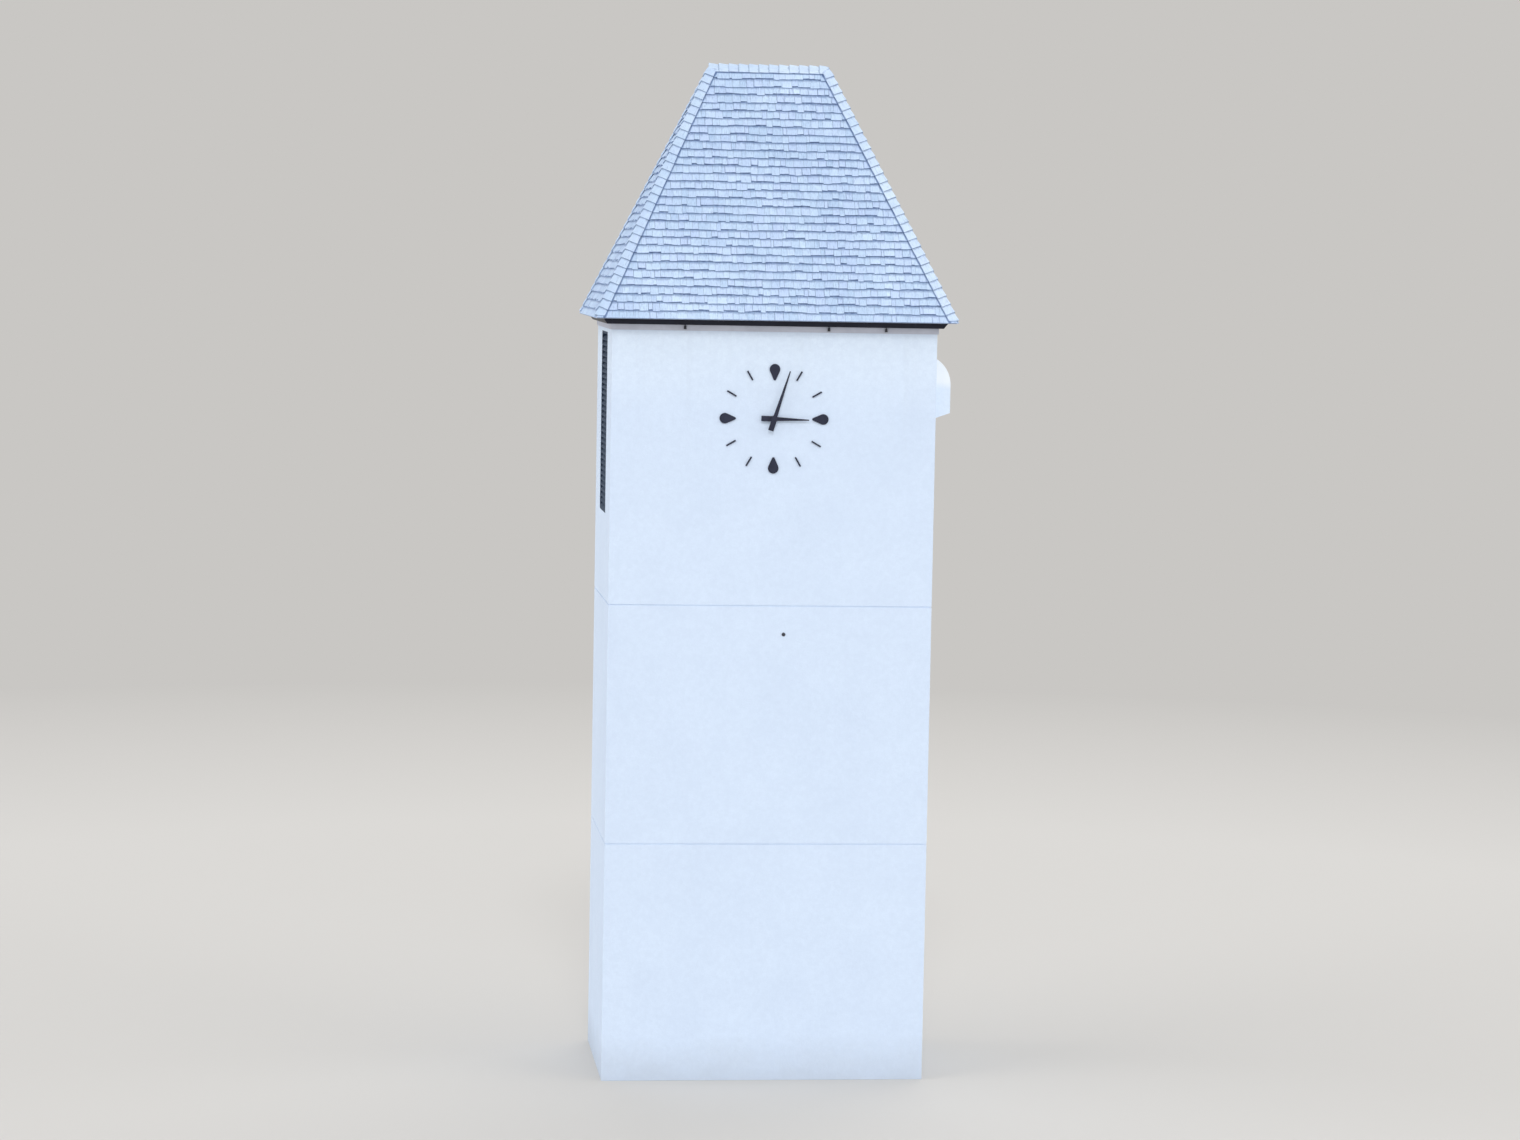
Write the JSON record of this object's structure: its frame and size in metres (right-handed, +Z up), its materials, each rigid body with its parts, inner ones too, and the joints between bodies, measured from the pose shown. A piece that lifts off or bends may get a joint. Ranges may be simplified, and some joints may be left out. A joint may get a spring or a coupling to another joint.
{
  "type": "clock tower",
  "caption": "Oblong white stucco clock tower with a very steep hipped shingle roof, a dial of bare markers and turning hands on its front wall and a tall louvre in its side.",
  "frame": {"origin": "ground level under the middle of the tower", "axes": "+Z up, the front with the clock faces -Y, +X to the right as seen from the front"},
  "size_m": [7.26, 4.86, 20.4669],
  "materials": {
    "stucco": "smooth white stucco",
    "plate_timber": "sawn timber",
    "roof_shingle": "weathered silver-grey shingles",
    "cap_shingle": "pale weathered cap shingles",
    "fascia_metal": "near-black navy paint",
    "soffit_board": "grey painted boards",
    "frieze_board": "grey painted board",
    "light_metal": "black paint",
    "louvre_metal": "dark blue-grey paint",
    "clock_metal": "dark charcoal paint",
    "sleeve_iron": "dark iron",
    "arbor_steel": "turned steel"
  },
  "bodies": {
    "tower": {"front_wall": "stucco", "back_wall": "stucco", "left_wall": "stucco", "right_wall": "stucco", "right_bay": "stucco", "wall_plate_front": "plate_timber", "wall_plate_back": "plate_timber", "wall_plate_left": "plate_timber", "wall_plate_right": "plate_timber", "roof_front": "roof_shingle", "roof_back": "roof_shingle", "roof_left": "roof_shingle", "roof_right": "roof_shingle", "hip_cap_front_left": "cap_shingle", "hip_cap_front_right": "cap_shingle", "hip_cap_back_left": "cap_shingle", "hip_cap_back_right": "cap_shingle", "ridge_cap": "cap_shingle", "fascia_front": "fascia_metal", "fascia_back": "fascia_metal", "fascia_left": "fascia_metal", "fascia_right": "fascia_metal", "soffit_front": "soffit_board", "soffit_back": "soffit_board", "soffit_left": "soffit_board", "soffit_right": "soffit_board", "frieze_front": "frieze_board", "frieze_back": "frieze_board", "frieze_left": "frieze_board", "frieze_right": "frieze_board", "eave_lights": "light_metal", "wall_vent": "light_metal", "louvre_frame": "louvre_metal", "louvre_blades": "louvre_metal", "quarter_markers": "clock_metal", "hour_markers": "clock_metal", "wall_sleeve": "sleeve_iron"},
    "hour_hand": {"hour_tube": "arbor_steel", "hour_hand": "clock_metal"},
    "minute_hand": {"minute_arbor": "arbor_steel", "minute_hand": "clock_metal"}
  },
  "joints": [
    {"name": "minute_turn", "type": "hinge", "parent": "tower", "child": "minute_hand", "pos_m": [0, -2.05, 13.34], "axis": [0, 1, 0], "continuous": true},
    {"name": "hour_turn", "type": "hinge", "parent": "tower", "child": "hour_hand", "pos_m": [0, -2.05, 13.34], "axis": [0, 1, 0], "continuous": true}
  ],
  "couplings": [
    {"joint": "hour_turn", "follows": "minute_turn", "ratio": 0.083333}
  ]
}
